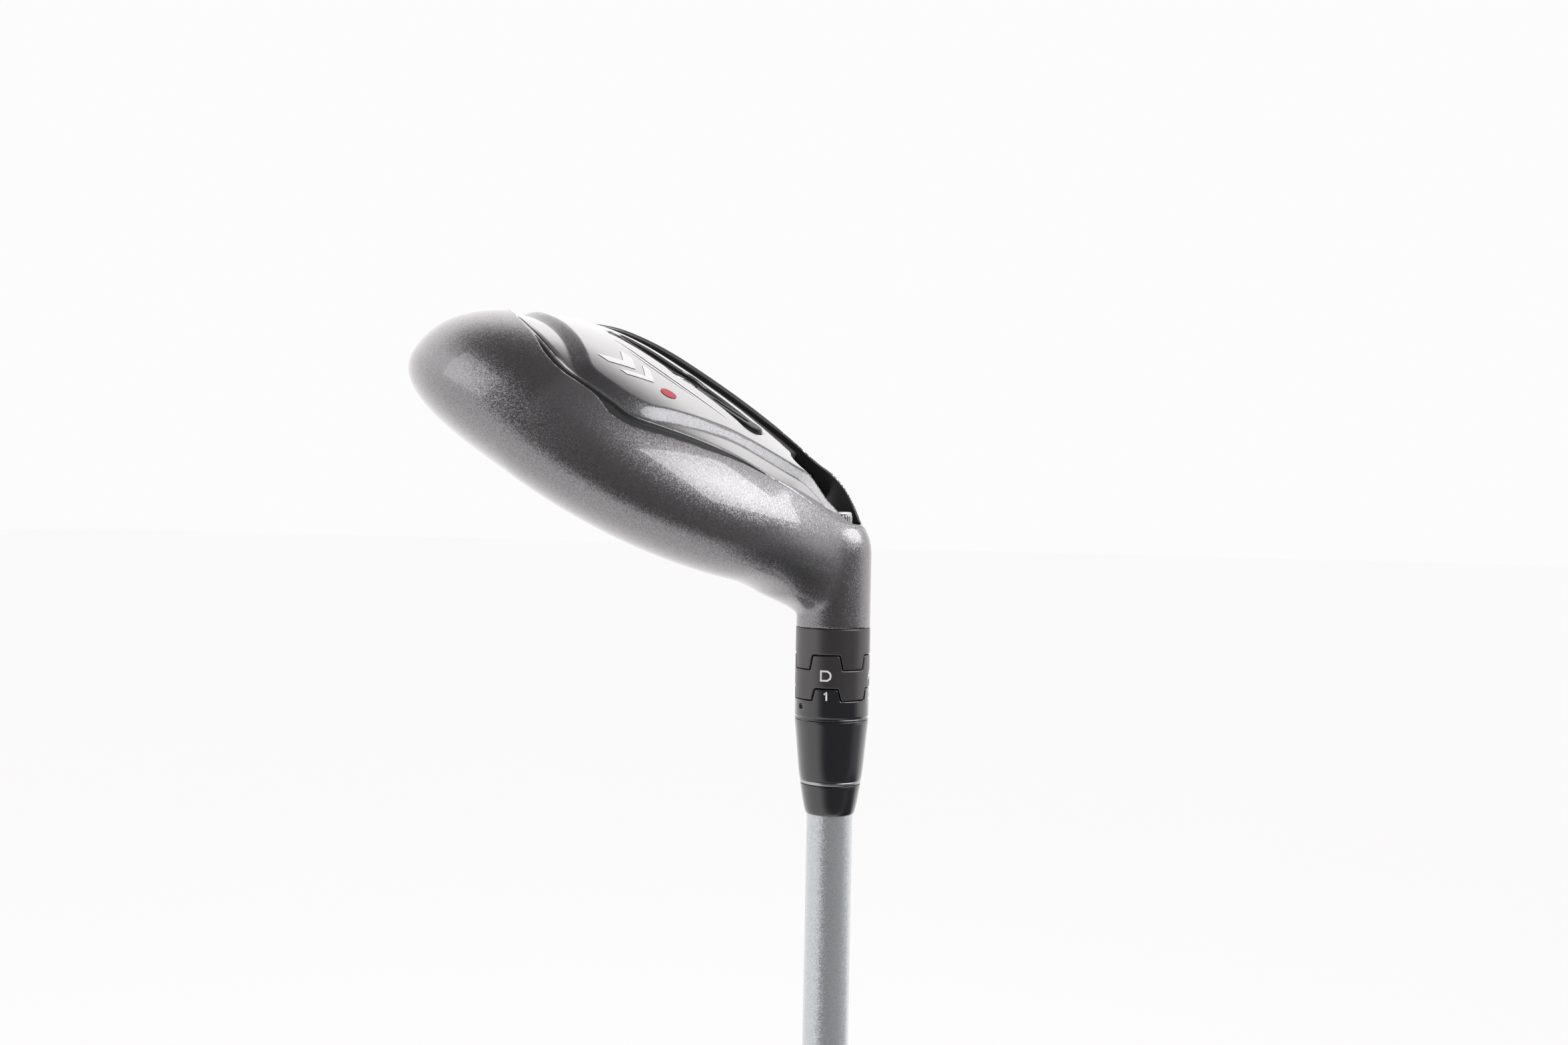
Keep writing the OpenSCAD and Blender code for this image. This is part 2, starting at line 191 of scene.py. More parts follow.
def new_mesh(name, points, quads, body, material, smooth=True):
    """A mesh object from row-frame points in mm, riding on a body."""
    mesh = bpy.data.meshes.new(name)
    mesh.from_pydata((np.asarray(points) * MM).tolist(), [], np.asarray(quads).tolist())
    mesh.validate()
    mesh.polygons.foreach_set("use_smooth", [smooth] * len(mesh.polygons))
    mesh.materials.append(material)
    obj = bpy.data.objects.new(name, mesh)
    bpy.context.scene.collection.objects.link(obj)
    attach(obj, body)
    return obj


class Outline:
    """Signed distance to a closed 2-D outline, negative inside, kept on a fine grid."""

    def __init__(self, points, soften=0.0, margin=14, pitch=0.25, round_corners=True):
        pts = np.array(points, float)
        if round_corners:
            pts = catmull(pts)
        self.lo = pts.min(0) - margin
        size = np.ceil((pts.max(0) - pts.min(0) + 2 * margin) / pitch).astype(int) + 1
        self.pitch = pitch
        gx, gy = np.meshgrid(*[self.lo[a] + np.arange(size[a]) * pitch for a in (0, 1)], indexing="ij")
        best = np.full(gx.shape, 1e9)
        inside = np.zeros(gx.shape, bool)
        for (ax, ay), (bx, by) in zip(pts, np.roll(pts, -1, 0)):
            dx, dy = bx - ax, by - ay
            length = dx * dx + dy * dy
            if length < 1e-12:
                continue
            t = np.clip(((gx - ax) * dx + (gy - ay) * dy) / length, 0, 1)
            best = np.minimum(best, (gx - ax - t * dx) ** 2 + (gy - ay - t * dy) ** 2)
            if dy:
                inside ^= ((ay > gy) != (by > gy)) & (gx < ax + dx * (gy - ay) / dy)
        value = np.sqrt(best) * np.where(inside, -1, 1)
        for _ in range(int(round((soften / pitch) ** 2 * 2))):
            pad = np.pad(value, 1, mode="edge")
            value = (pad[2:, 1:-1] + pad[:-2, 1:-1] + pad[1:-1, 2:] + pad[1:-1, :-2]) / 4
        self.value = value

    def __call__(self, x, y):
        u = np.clip((x - self.lo[0]) / self.pitch, 0, self.value.shape[0] - 1.001)
        v = np.clip((y - self.lo[1]) / self.pitch, 0, self.value.shape[1] - 1.001)
        i, j = u.astype(int), v.astype(int)
        u, v = u - i, v - j
        g = self.value
        return ((g[i, j] * (1 - u) + g[i + 1, j] * u) * (1 - v)
                + (g[i, j + 1] * (1 - u) + g[i + 1, j + 1] * u) * v)


def catmull(pts, steps=8):
    """A closed smooth curve through the points."""
    out = []
    n = len(pts)
    for i in range(n):
        a, b, c, d = pts[i - 1], pts[i], pts[(i + 1) % n], pts[(i + 2) % n]
        for k in range(steps):
            t = k / steps
            out.append(0.5 * (2 * b + (c - a) * t + (2 * a - 5 * b + 4 * c - d) * t * t
                              + (3 * b - a - 3 * c + d) * t ** 3))
    return np.array(out)


# ---------------------------------------------------------------- the head


def section_middle(x):
    t2 = (np.where(x >= MID_X, (x - MID_X) / (TOE_X - MID_X), (MID_X - x) / (MID_X + HEEL_X))) ** 2
    return (SKIRT + (np.where(x >= MID_X, TOE_Z, HEEL_Z) - SKIRT) * t2,
            np.where(x >= MID_X, TOE_Y, HEEL_Y) * t2)


def loft_level(p):
    x, y, z = p.T
    toe = x >= MID_X
    t = np.abs(x - MID_X) / np.where(toe, TOE_X - MID_X, MID_X + HEEL_X)
    n = np.where(toe, 2.3, 2.2)
    zm, ym = section_middle(np.clip(x, -HEEL_X - 4, TOE_X + 4))
    dz = z - zm
    dy = ym - y - LEAN * dz
    rear, top = dy >= 0, dz >= 0
    a = np.abs(dy) / np.where(rear, REAR, FRONT) + 1e-4
    b = np.abs(dz) / np.where(top, CROWN - SKIRT, SKIRT) + 1e-4
    py = np.where(rear, np.where(top, 2.4, 3.2), 4.0)
    pz = np.where(rear, np.where(top, 2.0, 2.5), 4.0)
    rho = np.maximum(a, b)
    for _ in range(3):
        rho = rho * ((a / rho) ** py + (b / rho) ** pz) ** (2 / (py + pz))
    return (t ** n + rho ** n) ** (1 / n) - 1


def loft(p):
    level, slope = gradient(loft_level, p, 0.05)
    return level / np.maximum(np.linalg.norm(slope, axis=1), 0.004)


# Lines of the sole in address X and Y, from the toe round the rear to the heel
PARTING = [(83, 22), (81.5, 3), (78.5, -8), (74.3, -17), (68.5, -24.5), (62.2, -30.4), (55, -35.2),
           (50, -37.8), (46, -39.4), (42, -40.1), (37, -39.9), (32, -39.5), (27.9, -39.2), (24.6, -37.8),
           (19.8, -34.0), (15.3, -29.9), (10.6, -25.4), (5.8, -21.4), (-0.9, -16.4), (-6, -10.4),
           (-10.6, -2), (-12.4, 7), (-14, 22)]
PLATFORM = [(82, 22), (77, 2), (72.5, -9), (66.5, -15), (60.2, -19.6), (54.6, -23.6), (50, -27),
            (44.8, -31.2), (40.6, -34.4), (36, -34.9), (31, -34.4), (27.3, -33.0), (25.0, -29.8),
            (22.4, -26.0), (19.4, -21.6), (16.4, -17.4), (12.3, -13.4), (7.5, -10.2), (2.5, -7.6),
            (-3, -5.2), (-8, -2), (-12, 22)]
CHANNEL = [(70, 5.7), (70, -0.9), (16, -0.9), (12, -1.2), (8, -2.2), (4, -4.0), (0, -5.4), (0, 3.0),
           (1, 6.8), (6, 7.3), (13, 6.6), (20, 5.8), (27, 5.7)]
parting = Outline(PARTING)
platform = Outline(PLATFORM, soften=0.35)
channel = Outline(CHANNEL, margin=6, round_corners=False, soften=0.3)
STEP_DEPTH = 1.25     # how far the scoops lie below the platform
SLOT_DEPTH = 1.1      # depth of the dark slot between skirt and sole
LIP, LIP_Y = 0.5, 6.4     # height and place of the raised lip in front of the channel
BAND = 3.3            # width of the platform's bevelled edge
RIM = 2.7             # width of the outer facet along the parting line


def bar_outline(x, y, grow):
    """Distance to the outline of the weight bar, seen along its screw."""
    x, y = x - BAR_X, y - BAR_Y
    strip = np.hypot(np.maximum(np.abs(x) - (BAR_LEN - BAR_W) / 2, 0), y) - BAR_W / 2
    lobe = np.hypot(x, y) - LOBE_R
    return soft_min(strip, lobe, 0.9) - grow


def face_frame(p):
    """Along, up and out of the face."""
    x, y, z = p.T
    y, z = y - LEAD, z - FOOT
    return x, -y * math.sin(LOFT) + z * math.cos(LOFT), y * math.cos(LOFT) + z * math.sin(LOFT)


def face_points(margin):
    out = []
    for side in (0, 1):
        for i in range(25):
            x = 6 + 74 * (i if side == 0 else 24 - i) / 24
            t = abs(x - MID_X) / (TOE_X - MID_X if x >= MID_X else MID_X + HEEL_X)
            n = 2.3 if x >= MID_X else 2.2
            e = (1 - t ** n) ** (1 / n)
            mid = float(section_middle(np.array([x]))[0][0])
            level = mid - SKIRT * e if side == 0 else mid + (CROWN - SKIRT) * e
            out.append((x, (level - FOOT) / math.cos(LOFT) + (margin if side == 0 else -margin)))
    return out


face_outline = Outline(face_points(2.6), margin=4, round_corners=False, soften=0.5)


def shaft_frame(p):
    """Distance from the shaft axis, height over the hosel line, and the toe-ward offset."""
    x, y, z = p.T
    along = x * COS - z * SIN + (GROUND_Z - HOSEL_Z)
    across = x * SIN + z * COS
    return np.hypot(across, y), along, across


def slot_depth(x, s_out):
    """How far a point lies inside the dark slot between skirt and sole, in mm from its edge."""
    half = (0.85 + 0.85 * ramp(36, 29, x)) * ramp(2, 14, x) * ramp(56, 48, x)
    middle = 0.45 - 0.55 * ramp(36, 29, x)
    return half - np.abs(s_out - middle)


def sole_recess(p):
    """How far the sole is let in, in mm, over the ground-side surface."""
    x, y, z = p.T
    s_out = -parting(x, y)
    s_plat = platform(x, y)
    under = ramp(1.5, -1.5, z - section_middle(x)[0] + 3.5)
    scoop = STEP_DEPTH * ramp(0, BAND, s_plat) * ramp(0.1, RIM, s_out)
    slot = SLOT_DEPTH * ramp(-0.25, 0.55, slot_depth(x, s_out))
    line = 0.28 * ramp(44, 52, x) * np.exp(-((s_out - RIM) / 0.38) ** 2)
    lead = 0.3 * np.sqrt(np.maximum(y - 6.8, 0) ** 2 + 0.2) * ramp(6.9, 8.4, y)
    lip = LIP * np.exp(-(y - LIP_Y) ** 2) * ramp(6, 12, x) * ramp(69, 60, x)
    return under * (scoop + slot + line + lead - lip)


def head_skin(p):
    """The outside of the head, before its pockets are cut."""
    body = loft(p)
    radius, along, across = shaft_frame(p)
    tube = soft_max(radius - HOSEL_R, along - HOSEL_LEN, 8.5)
    blend = 0.4 + (2 + 14 * ramp(-6, 4, across)) * ramp(-0.5, 7, along)
    shell = soft_min(body, tube, blend)
    front = face_frame(p)[2]
    fillet = 0.02 + 1.2 * ramp(-0.8, 0.6, front)     # the hosel stands proud of the face
    shell = soft_min(soft_max(shell, front, 1.5), tube, fillet)
    return shell + sole_recess(p)


def head_field(p):
    x, y, z = p.T
    radius, along, __ = shaft_frame(p)
    u, w, out = face_frame(p)
    shell = np.maximum(head_skin(p), -along)
    # pockets: face plate, weight bar, channel, hosel bore, wrench port
    shell = soft_max(shell, -soft_max(face_outline(u, w) - 0.05, -out - 2.05, 0.2), 0.35)
    pocket = soft_max(bar_outline(x, y, 0.3), z - (BAR_Z + BAR_T + 0.4), 0.3)
    shell = soft_max(shell, -pocket, 0.45)
    cut = soft_max(channel(x, y), z - CHANNEL_TOP, 0.4)
    shell = soft_max(shell, -cut, 0.5)
    bore = soft_max(radius - BORE_R, along - WEB_Z, 0.3)
    shell = soft_max(shell, -bore, 0.3)
    flare = FLARE * np.maximum(along - FLARE_Z, 0)
    port = soft_max(radius - PORT_R - flare, (SEAT_Z - HOSEL_Z) - along, 0.3)
    return soft_max(shell, -port, 0.5)


def zones(obj, points):
    """Stores the lines of the sole on the mesh, for the materials to draw sharp edges with, and how deep
    each point lies inside the skin, where the material paints shade.
    """
    x, y, z = points.T
    under = ramp(1.0, -1.0, z - section_middle(x)[0] + 3.5) > 0.5
    s_out = np.where(under, -parting(x, y), -np.abs(z - section_middle(x)[0] + 3.5) - 0.5)
    __, __, out = face_frame(points)
    radius, along, __ = shaft_frame(points)
    # depth inside the skin: the head material paints these pockets near-black as painted shade
    pocket = head_skin(points) + 0.15
    out = np.minimum(out, radius - HOSEL_R - 0.4)     # the hosel is painted, also in front of the face
    for name, value in (("sole", s_out), ("plat", platform(x, y)), ("out", out), ("hole", pocket),
                        ("slot", np.where(under, slot_depth(x, s_out), -9)),
                        ("ax", x), ("ay", y), ("bore", np.where(along < 17, radius, 99))):
        layer = obj.data.attributes.new(name, "FLOAT", "POINT")
        layer.data.foreach_set("value", value.astype(np.float32))


# ---------------------------------------------------------------- materials


class Nodes:
    """A material and short calls to wire its nodes."""

    def __init__(self, name, **values):
        self.mat = bpy.data.materials.new(name)
        self.mat.use_nodes = True
        self.tree = self.mat.node_tree
        self.bsdf = self.tree.nodes["Principled BSDF"]
        self.set(**values)

    def set(self, **values):
        for key, value in values.items():
            socket = self.bsdf.inputs[key.replace("_", " ").title().replace("Ior", "IOR")]
            self.put(socket, value)

    def put(self, socket, value):
        if isinstance(value, bpy.types.NodeSocket):
            self.tree.links.new(value, socket)
        elif isinstance(value, tuple) and len(value) == 3 and socket.type == "RGBA":
            socket.default_value = (*value, 1)
        else:
            socket.default_value = value

    def node(self, kind, inputs=None, out=0, **props):
        n = self.tree.nodes.new("ShaderNode" + kind)
        for key, value in props.items():
            setattr(n, key, value)
        for key, value in (inputs or {}).items():
            self.put(n.inputs[key], value)
        return n.outputs[out]

    def math(self, op, a, b=0.0, c=0.0):
        return self.node("Math", {0: a, 1: b, 2: c}, operation=op)

    def attr(self, name):
        return self.node("Attribute", out="Fac", attribute_name=name)

    def step(self, value, lo, hi):
        return self.node("MapRange", {"Value": value, "From Min": lo, "From Max": hi},
                         interpolation_type="SMOOTHSTEP")

    def mix(self, fac, a, b):
        n = self.tree.nodes.new("ShaderNodeMix")
        n.data_type = "RGBA"
        self.put(n.inputs[0], fac)
        self.put(n.inputs[6], a)
        self.put(n.inputs[7], b)
        return n.outputs[2]

    def blend(self, fac, a, b):
        n = self.tree.nodes.new("ShaderNodeMix")
        self.put(n.inputs[0], fac)
        self.put(n.inputs[2], a)
        self.put(n.inputs[3], b)
        return n.outputs[0]

    def where(self):
        return self.node("TexCoord", out="Object")

    def noise(self, scale, detail=3.0, rough=0.55, at=None):
        return self.node("TexNoise", {"Vector": at or self.where(), "Scale": scale, "Detail": detail,
                                      "Roughness": rough}, out="Fac")

    def bump(self, height, distance, strength=1.0, normal=None):
        inputs = {"Height": height, "Distance": distance, "Strength": strength}
        if normal:
            inputs["Normal"] = normal
        return self.node("Bump", inputs, out="Normal")


def flake_normal(n, size, tilt):
    """A normal that differs from flake to flake, and the flakes' random value."""
    cell = n.tree.nodes.new("ShaderNodeTexVoronoi")
    n.put(cell.inputs["Vector"], n.where())
    n.put(cell.inputs["Scale"], 1 / (size * MM))
    off = n.node("VectorMath", {0: cell.outputs["Color"], 1: (0.5, 0.5, 0.5)}, operation="SUBTRACT")
    off = n.node("VectorMath", {0: off, 3: tilt}, operation="SCALE")
    normal = n.node("NewGeometry", out="Normal")
    both = n.node("VectorMath", {0: normal, 1: off}, operation="ADD")
    return (n.node("VectorMath", {0: both}, operation="NORMALIZE"),
            n.node("SeparateColor", {0: cell.outputs["Color"]}))


def head_paint():
    """Gunmetal flake paint, polished sole and bare face rim, split along the stored lines, with painted
    shade: near-black colour in the pockets, the slot and the toe-side line.
    """
    n = Nodes("head_finish", coat_roughness=0.05, coat_ior=1.5)
    flake, random = flake_normal(n, 0.15, 0.24)
    sole, plat, out, ax = n.attr("sole"), n.attr("plat"), n.attr("out"), n.attr("ax")
    in_sole = n.step(sole, 0.05, 0.15)
    band = n.math("MULTIPLY", n.step(plat, 0.0, 0.12),
                  n.step(n.math("SUBTRACT", BAND - 0.2, plat), 0.0, 0.15))
    rear = n.math("MULTIPLY", n.step(plat, 0.0, 0.12),
                  n.math("MULTIPLY", n.step(ax, 22.0, 25.0), n.step(ax, 43.0, 40.0)))
    heel_rim = n.math("MULTIPLY", n.step(n.math("SUBTRACT", RIM + 0.3, sole), 0.0, 0.2),
                      n.step(ax, 26.0, 24.0))
    grey = n.math("MAXIMUM", n.math("MAXIMUM", band, rear), heel_rim)
    polished = n.math("MULTIPLY", in_sole, n.math("SUBTRACT", 1.0, grey))
    # painted shade: the slot between skirt and sole and the thin toe-side line are coloured near-black
    groove = n.step(n.attr("slot"), -0.06, 0.08)
    toe_line_shade = n.math("MULTIPLY", n.step(n.math("ABSOLUTE", n.math("SUBTRACT", sole, RIM)), 0.34, 0.2),
                      n.step(ax, 44.0, 48.0))
    face = n.step(out, -0.35, -0.15)
    # one mask of painted shade for the pockets, the slot and the toe-side line
    hole = n.math("MAXIMUM", n.step(n.attr("hole"), -0.05, -0.35), n.math("MAXIMUM", groove, toe_line_shade))
    paint = n.mix(random, (0.160, 0.155, 0.162), (0.285, 0.277, 0.288))
    satin = n.mix(random, (0.110, 0.108, 0.114), (0.180, 0.176, 0.186))
    colour = n.mix(n.math("MULTIPLY", in_sole, grey), paint, satin)
    colour = n.mix(polished, colour, (0.50, 0.50, 0.505))
    colour = n.mix(face, colour, (0.40, 0.40, 0.41))
    # painted shade: near-black colour where the recesses lie in shade
    colour = n.mix(hole, colour, (0.012, 0.012, 0.013))
    smear = n.noise(60, 4)
    rough = n.blend(polished, n.blend(grey, 0.30, 0.38), n.math("MULTIPLY_ADD", smear, 0.08, 0.08))
    rough = n.blend(face, rough, 0.36)
    rough = n.blend(hole, rough, 0.55)
    metallic = n.blend(hole, 1.0, 0.0)
    coat = n.math("MULTIPLY", n.math("SUBTRACT", 1.0, hole), n.math("SUBTRACT", 1.0, face))
    mix_normal = n.tree.nodes.new("ShaderNodeMix")
    mix_normal.data_type = "VECTOR"
    n.put(mix_normal.inputs[0], n.math("MAXIMUM", polished, n.math("MAXIMUM", face, hole)))
    n.put(mix_normal.inputs[4], flake)
    n.put(mix_normal.inputs[5], n.node("NewGeometry", out="Normal"))
    peel = n.bump(n.noise(420, 2), 0.00004, 0.35, mix_normal.outputs[1])
    n.set(base_color=colour, roughness=rough, metallic=metallic, coat_weight=coat, normal=peel)
    n.put(n.bsdf.inputs["Coat Normal"], n.bump(n.noise(260, 2), 0.00003, 0.3))
    return n.mat


def metal(name, colour, rough, scratch=0.25, grain=(900, 900, 60), coat=0.0):
    """Machined or satin metal with fine directional grain."""
    n = Nodes(name, metallic=1.0, coat_weight=coat)
    place = n.node("Mapping", {"Vector": n.where(), "Scale": grain})
    lines = n.node("TexNoise", {"Vector": place, "Scale": 4.0, "Detail": 4.0}, out="Fac")
    wear = n.noise(180, 4)
    n.set(base_color=n.mix(wear, tuple(c * 0.82 for c in colour), tuple(min(1, c * 1.12) for c in colour)),
          roughness=n.math("MULTIPLY_ADD", lines, scratch, rough - scratch / 2),
          normal=n.bump(lines, 0.00002, 0.4))
    return n.mat


def satin_grey():
    """Anodised dark grey of the toothed ring and collar."""
    n = Nodes("satin_anodised", metallic=0.75)
    grit = n.noise(5200, 2, 0.7)
    blotch = n.noise(140, 3)
    n.set(base_color=n.mix(blotch, (0.088, 0.085, 0.085), (0.114, 0.111, 0.111)),
          roughness=n.math("MULTIPLY_ADD", grit, 0.14, 0.24), normal=n.bump(grit, 0.000012, 0.5))
    return n.mat


def gloss_black():
    n = Nodes("gloss_black", roughness=0.22, coat_weight=1.0, coat_roughness=0.03)
    wave = n.noise(35, 2)
    dust = n.noise(2600, 2, 0.7)
    n.set(base_color=n.mix(wave, (0.005, 0.005, 0.008), (0.008, 0.008, 0.012)),
          roughness=n.math("MULTIPLY_ADD", dust, 0.1, 0.16))
    n.put(n.bsdf.inputs["Coat Normal"], n.bump(wave, 0.00008, 0.25))
    return n.mat


def shaft_paint():
    """Light silver paint with fine pearl under a clear coat."""
    n = Nodes("shaft_silver", metallic=0.65, coat_weight=1.0, coat_roughness=0.04)
    flake, random = flake_normal(n, 0.16, 0.22)
    n.set(base_color=n.mix(random, (0.46, 0.49, 0.51), (0.62, 0.65, 0.67)),
          roughness=n.math("MULTIPLY_ADD", n.noise(90, 3), 0.08, 0.26), normal=flake)
    return n.mat


def rubber(name, colour, grit_size=2400.0, depth=0.00003, rough=0.78):
    n = Nodes(name, sheen_weight=0.12, sheen_roughness=0.5)
    grit = n.noise(grit_size, 4, 0.65)
    worn = n.noise(28, 3)
    n.set(base_color=n.mix(worn, tuple(c * 0.8 for c in colour), tuple(c * 1.35 for c in colour)),
          roughness=n.math("MULTIPLY_ADD", worn, 0.16, rough - 0.1), normal=n.bump(grit, depth, 0.8))
    return n.mat


def plain(name, colour, rough, metallic=0.0, speckle=400.0):
    n = Nodes(name, metallic=metallic)
    spots = n.noise(speckle, 4)
    n.set(base_color=n.mix(spots, tuple(c * 0.78 for c in colour), tuple(min(1, c * 1.15) for c in colour)),
          roughness=n.math("MULTIPLY_ADD", spots, 0.15, rough - 0.07), normal=n.bump(spots, 0.00003, 0.4))
    return n.mat


HEAD = head_paint()
FACE = metal("milled_face", (0.43, 0.43, 0.44), 0.34, 0.2, (60, 2400, 2400))
SATIN = satin_grey()
GLOSS = gloss_black()
SILVER = shaft_paint()
STEEL = metal("machined_steel", (0.66, 0.66, 0.67), 0.24, 0.18)
SPRING = metal("spring_steel", (0.42, 0.42, 0.44), 0.3, 0.15)
TUNGSTEN = metal("dark_weight", (0.055, 0.055, 0.058), 0.42, 0.2)
TRIM = metal("bright_trim", (0.42, 0.42, 0.44), 0.2, 0.1)
ELASTOMER = rubber("black_elastomer", (0.016, 0.016, 0.018), 1500.0, 0.00002, 0.62)
GRIP = rubber("grip_rubber", (0.018, 0.018, 0.019))
CORK = plain("cork", (0.50, 0.33, 0.17), 0.85, 0.0, 900.0)
BRASS = metal("brass", (0.78, 0.58, 0.27), 0.3, 0.15)
TAPE = plain("tape_paper", (0.80, 0.76, 0.64), 0.8, 0.0, 700.0)
WHITE = plain("white_fill", (0.93, 0.93, 0.92), 0.4, 0.0, 500.0)
RED = plain("red_fill", (0.5, 0.012, 0.03), 0.35, 0.0, 500.0)

# The CAD pieces that stay as they are get a material of their own
for node, material in (("shaft", SILVER), ("tip_plug", CORK), ("tip_weight", BRASS), ("grip_tape", TAPE),
                       ("weight_screw_clip", SPRING), ("hosel_screw_clip", SPRING),
                       ("weight_thread_insert", STEEL)):
    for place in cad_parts[node].material_slots:
        place.material = material

# ---------------------------------------------------------------- the head's pieces

STEP = 0.3      # cell size of the large shapes
FINE = 0.13    # cell size of the small ones
points, quads = surface(head_field, (-26, -54, -2), (92, 14, 38), STEP)
head = new_mesh("head_shell", to_row(points), quads, "head", HEAD)
zones(head, points)
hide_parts("head_body", "crown_shell")


def face_plate_field(p):
    u, w, out = face_frame(p)
    plate = soft_max(face_outline(u, w), np.abs(out + 1) - 1, 0.35)
    row = (w - 5.4) / 3.3
    near = np.abs(row - np.clip(np.round(row), 0, 7)) * 3.3
    groove = soft_max(near - 0.42, np.abs(u - MID_X) - 22, 0.4)
    cut = soft_max(groove, -out - 0.38, 0.3)
    return soft_max(plate, -cut, 0.25)


def insert_field(p):
    x, y, z = p.T
    skin = loft(p) + 0.95
    inside = soft_max(channel(x, y) + 0.06, np.abs(x - 40.5) - 29.3, 0.3)
    return soft_max(soft_max(inside, skin, 0.25), z - 7.4, 0.3)


def bar_field(p):
    x, y, z = p.T
    solid = soft_max(bar_outline(x, y, 0.0), np.abs(z - BAR_Z - BAR_T / 2) - BAR_T / 2, 0.4)
    radius = np.hypot(x - BAR_X, y - BAR_Y)
    seat = soft_max(radius - 3.15, z - BAR_Z - 2.2, 0.2)
    solid = soft_max(solid, -seat, 0.3)
    solid = soft_max(solid, 2.3 - radius, 0.2)
    # a shallow finger groove on each arm, and a pip that tells the heavy end
    arm = np.abs(x - BAR_X) - 12
    trough = soft_max(np.hypot(np.maximum(np.abs(arm) - 4.2, 0), y - BAR_Y) - 0.8, z - BAR_Z - 0.3, 0.25)
    solid = soft_max(solid, -trough, 0.25)
    pip = soft_max(np.hypot(x - BAR_X - 18, y - BAR_Y) - 0.6, z - BAR_Z - 0.35, 0.2)
    return soft_max(solid, -pip, 0.2)


def six_lobes(x, y, size):
    """A six-lobed drive socket."""
    turn = np.arctan2(y, x)
    return np.hypot(x, y) - size * (1 + 0.13 * np.cos(6 * turn))


def weight_screw_field(p):
    x, y, z = p[:, 0] - BAR_X, p[:, 1] - BAR_Y, p[:, 2] - BAR_Z
    r = np.hypot(x, y)
    cap = soft_max(r - 2.9, np.abs(z - 1.15) - 1.0, 0.45)
    pitch = 0.7
    ridge = 0.1 * np.abs(((z / pitch + np.arctan2(y, x) / (2 * np.pi)) % 1) * 2 - 1)
    shank = soft_max(r - 1.98 + ridge, np.abs(z - 7.0) - 4.9, 0.3)
    groove = soft_max(1.7 - r, np.abs(z - 5.35) - 0.25, 0.1)
    solid = soft_min(cap, soft_max(shank, -groove, 0.1), 0.2)
    return soft_max(solid, -soft_max(six_lobes(x, y, 1.5), z - 1.6, 0.2), 0.2)


def hosel_screw_field(p):
    """In the row frame, heights over the hosel line."""
    x, y, z = p.T
    r = np.hypot(x, y)
    head_z = SEAT_Z - HOSEL_Z + 0.55
    turn = np.arctan2(y, x)
    knurl = (0.09 * np.cos(30 * turn) * ramp(head_z + 0.7, head_z + 1.0, z)
             * ramp(head_z + 2.9, head_z + 2.6, z))
    cap = soft_max(r - 3.32 + knurl, np.abs(z - head_z - 1.8) - 1.8, 0.55)
    ridge = 0.13 * np.abs(((z / 0.8 - turn / (2 * np.pi)) % 1) * 2 - 1)
    shank = soft_max(r - 2.49 + ridge, np.abs(z - (5.0 + head_z) / 2) - (head_z - 5.0) / 2 - 0.3, 0.4)
    shank = soft_max(shank, -soft_max(2.1 - r, np.abs(z - 15.05) - 0.25, 0.1), 0.1)
    solid = soft_min(cap, shank, 0.3)
    return soft_max(solid, -soft_max(six_lobes(x, y, 1.95), head_z + 1.2 - z, 0.25), 0.25)


def address_piece(name, field, lo, hi, step, material, body, node):
    pts, faces = surface(field, lo, hi, step)
    obj = new_mesh(name, to_row(pts), faces, body, material)
    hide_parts(node)
    return obj


address_piece("milled_face_plate", face_plate_field, (2, -4, 0), (84, 14, 34), STEP * 0.8, FACE,
              "head", "face_plate")
address_piece("channel_strip", insert_field, (9, -2, -1), (72, 9, 9), STEP, ELASTOMER,
              "head", "channel_insert")
address_piece("sole_weight", bar_field, (14, -13, 0), (58, -1, 6.5), STEP * 0.7, TUNGSTEN,
              "weight", "weight_bar")
address_piece("weight_bolt", weight_screw_field, (32, -10.6, 0), (39.2, -3.4, 13.6), FINE, STEEL,
              "weight_screw_body", "weight_screw")


def axis_piece(name, field, lo, hi, step, material, slot, body, *nodes):
    """A piece on the shaft axis, whose field has heights over the hosel line."""
    pts, faces = surface(field, lo, hi, step)
    obj = new_mesh(name, pts + (0, 0, HOSEL_Z), faces, body, material)
    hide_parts(*nodes)
    return obj


axis_piece("hosel_bolt", hosel_screw_field, (-4, -4, 4.8), (4, 4, 24.2), FINE, STEEL, "screw_steel",
           "hosel_screw_body", "hosel_screw")

# ---------------------------------------------------------------- toothed stack on the shaft axis

COLLAR_TIP, COLLAR_ROOT = -8.15, -5.3
RING_TIP, SLEEVE_TIP = -14.2, -11.9
SLEEVE_LINE = -18.4
UPPER_TURN, LOWER_TURN = 100, 101     # middle of the first tooth, degrees about the shaft axis


def tooth(p, centre, width, z_root, z_tip):
    """Distance into the four teeth that reach from z_root to z_tip, with slanted sides."""
    turn = np.degrees(np.arctan2(p[:, 1], p[:, 0]))
    off = np.abs((turn - centre + 45) % 90 - 45)
    t = (p[:, 2] - z_root) / (z_tip - z_root)
    return (off - width / 2 + 5.0 * (t - 0.5)) * math.pi / 180 * HOSEL_R


def castle(p, base, centre, width, z_root, z_tip):
    """base where the teeth's wave runs: teeth between z_root and z_tip."""
    up = np.sign(z_tip - z_root)
    z = p[:, 2]
    below_root = up * (z - z_root)
    teeth = soft_max(tooth(p, centre, width, z_root, z_tip), up * (z - z_tip), 0.35)
    return soft_max(base, soft_min(below_root, teeth, 0.3), 0.3)


def band(p, outer, inner, bottom, top, rounding=0.3):
    r = np.hypot(p[:, 0], p[:, 1])
    wall = soft_max(r - outer, inner - r, 0.1)
    return soft_max(wall, np.abs(p[:, 2] - (top + bottom) / 2) - (top - bottom) / 2, rounding)


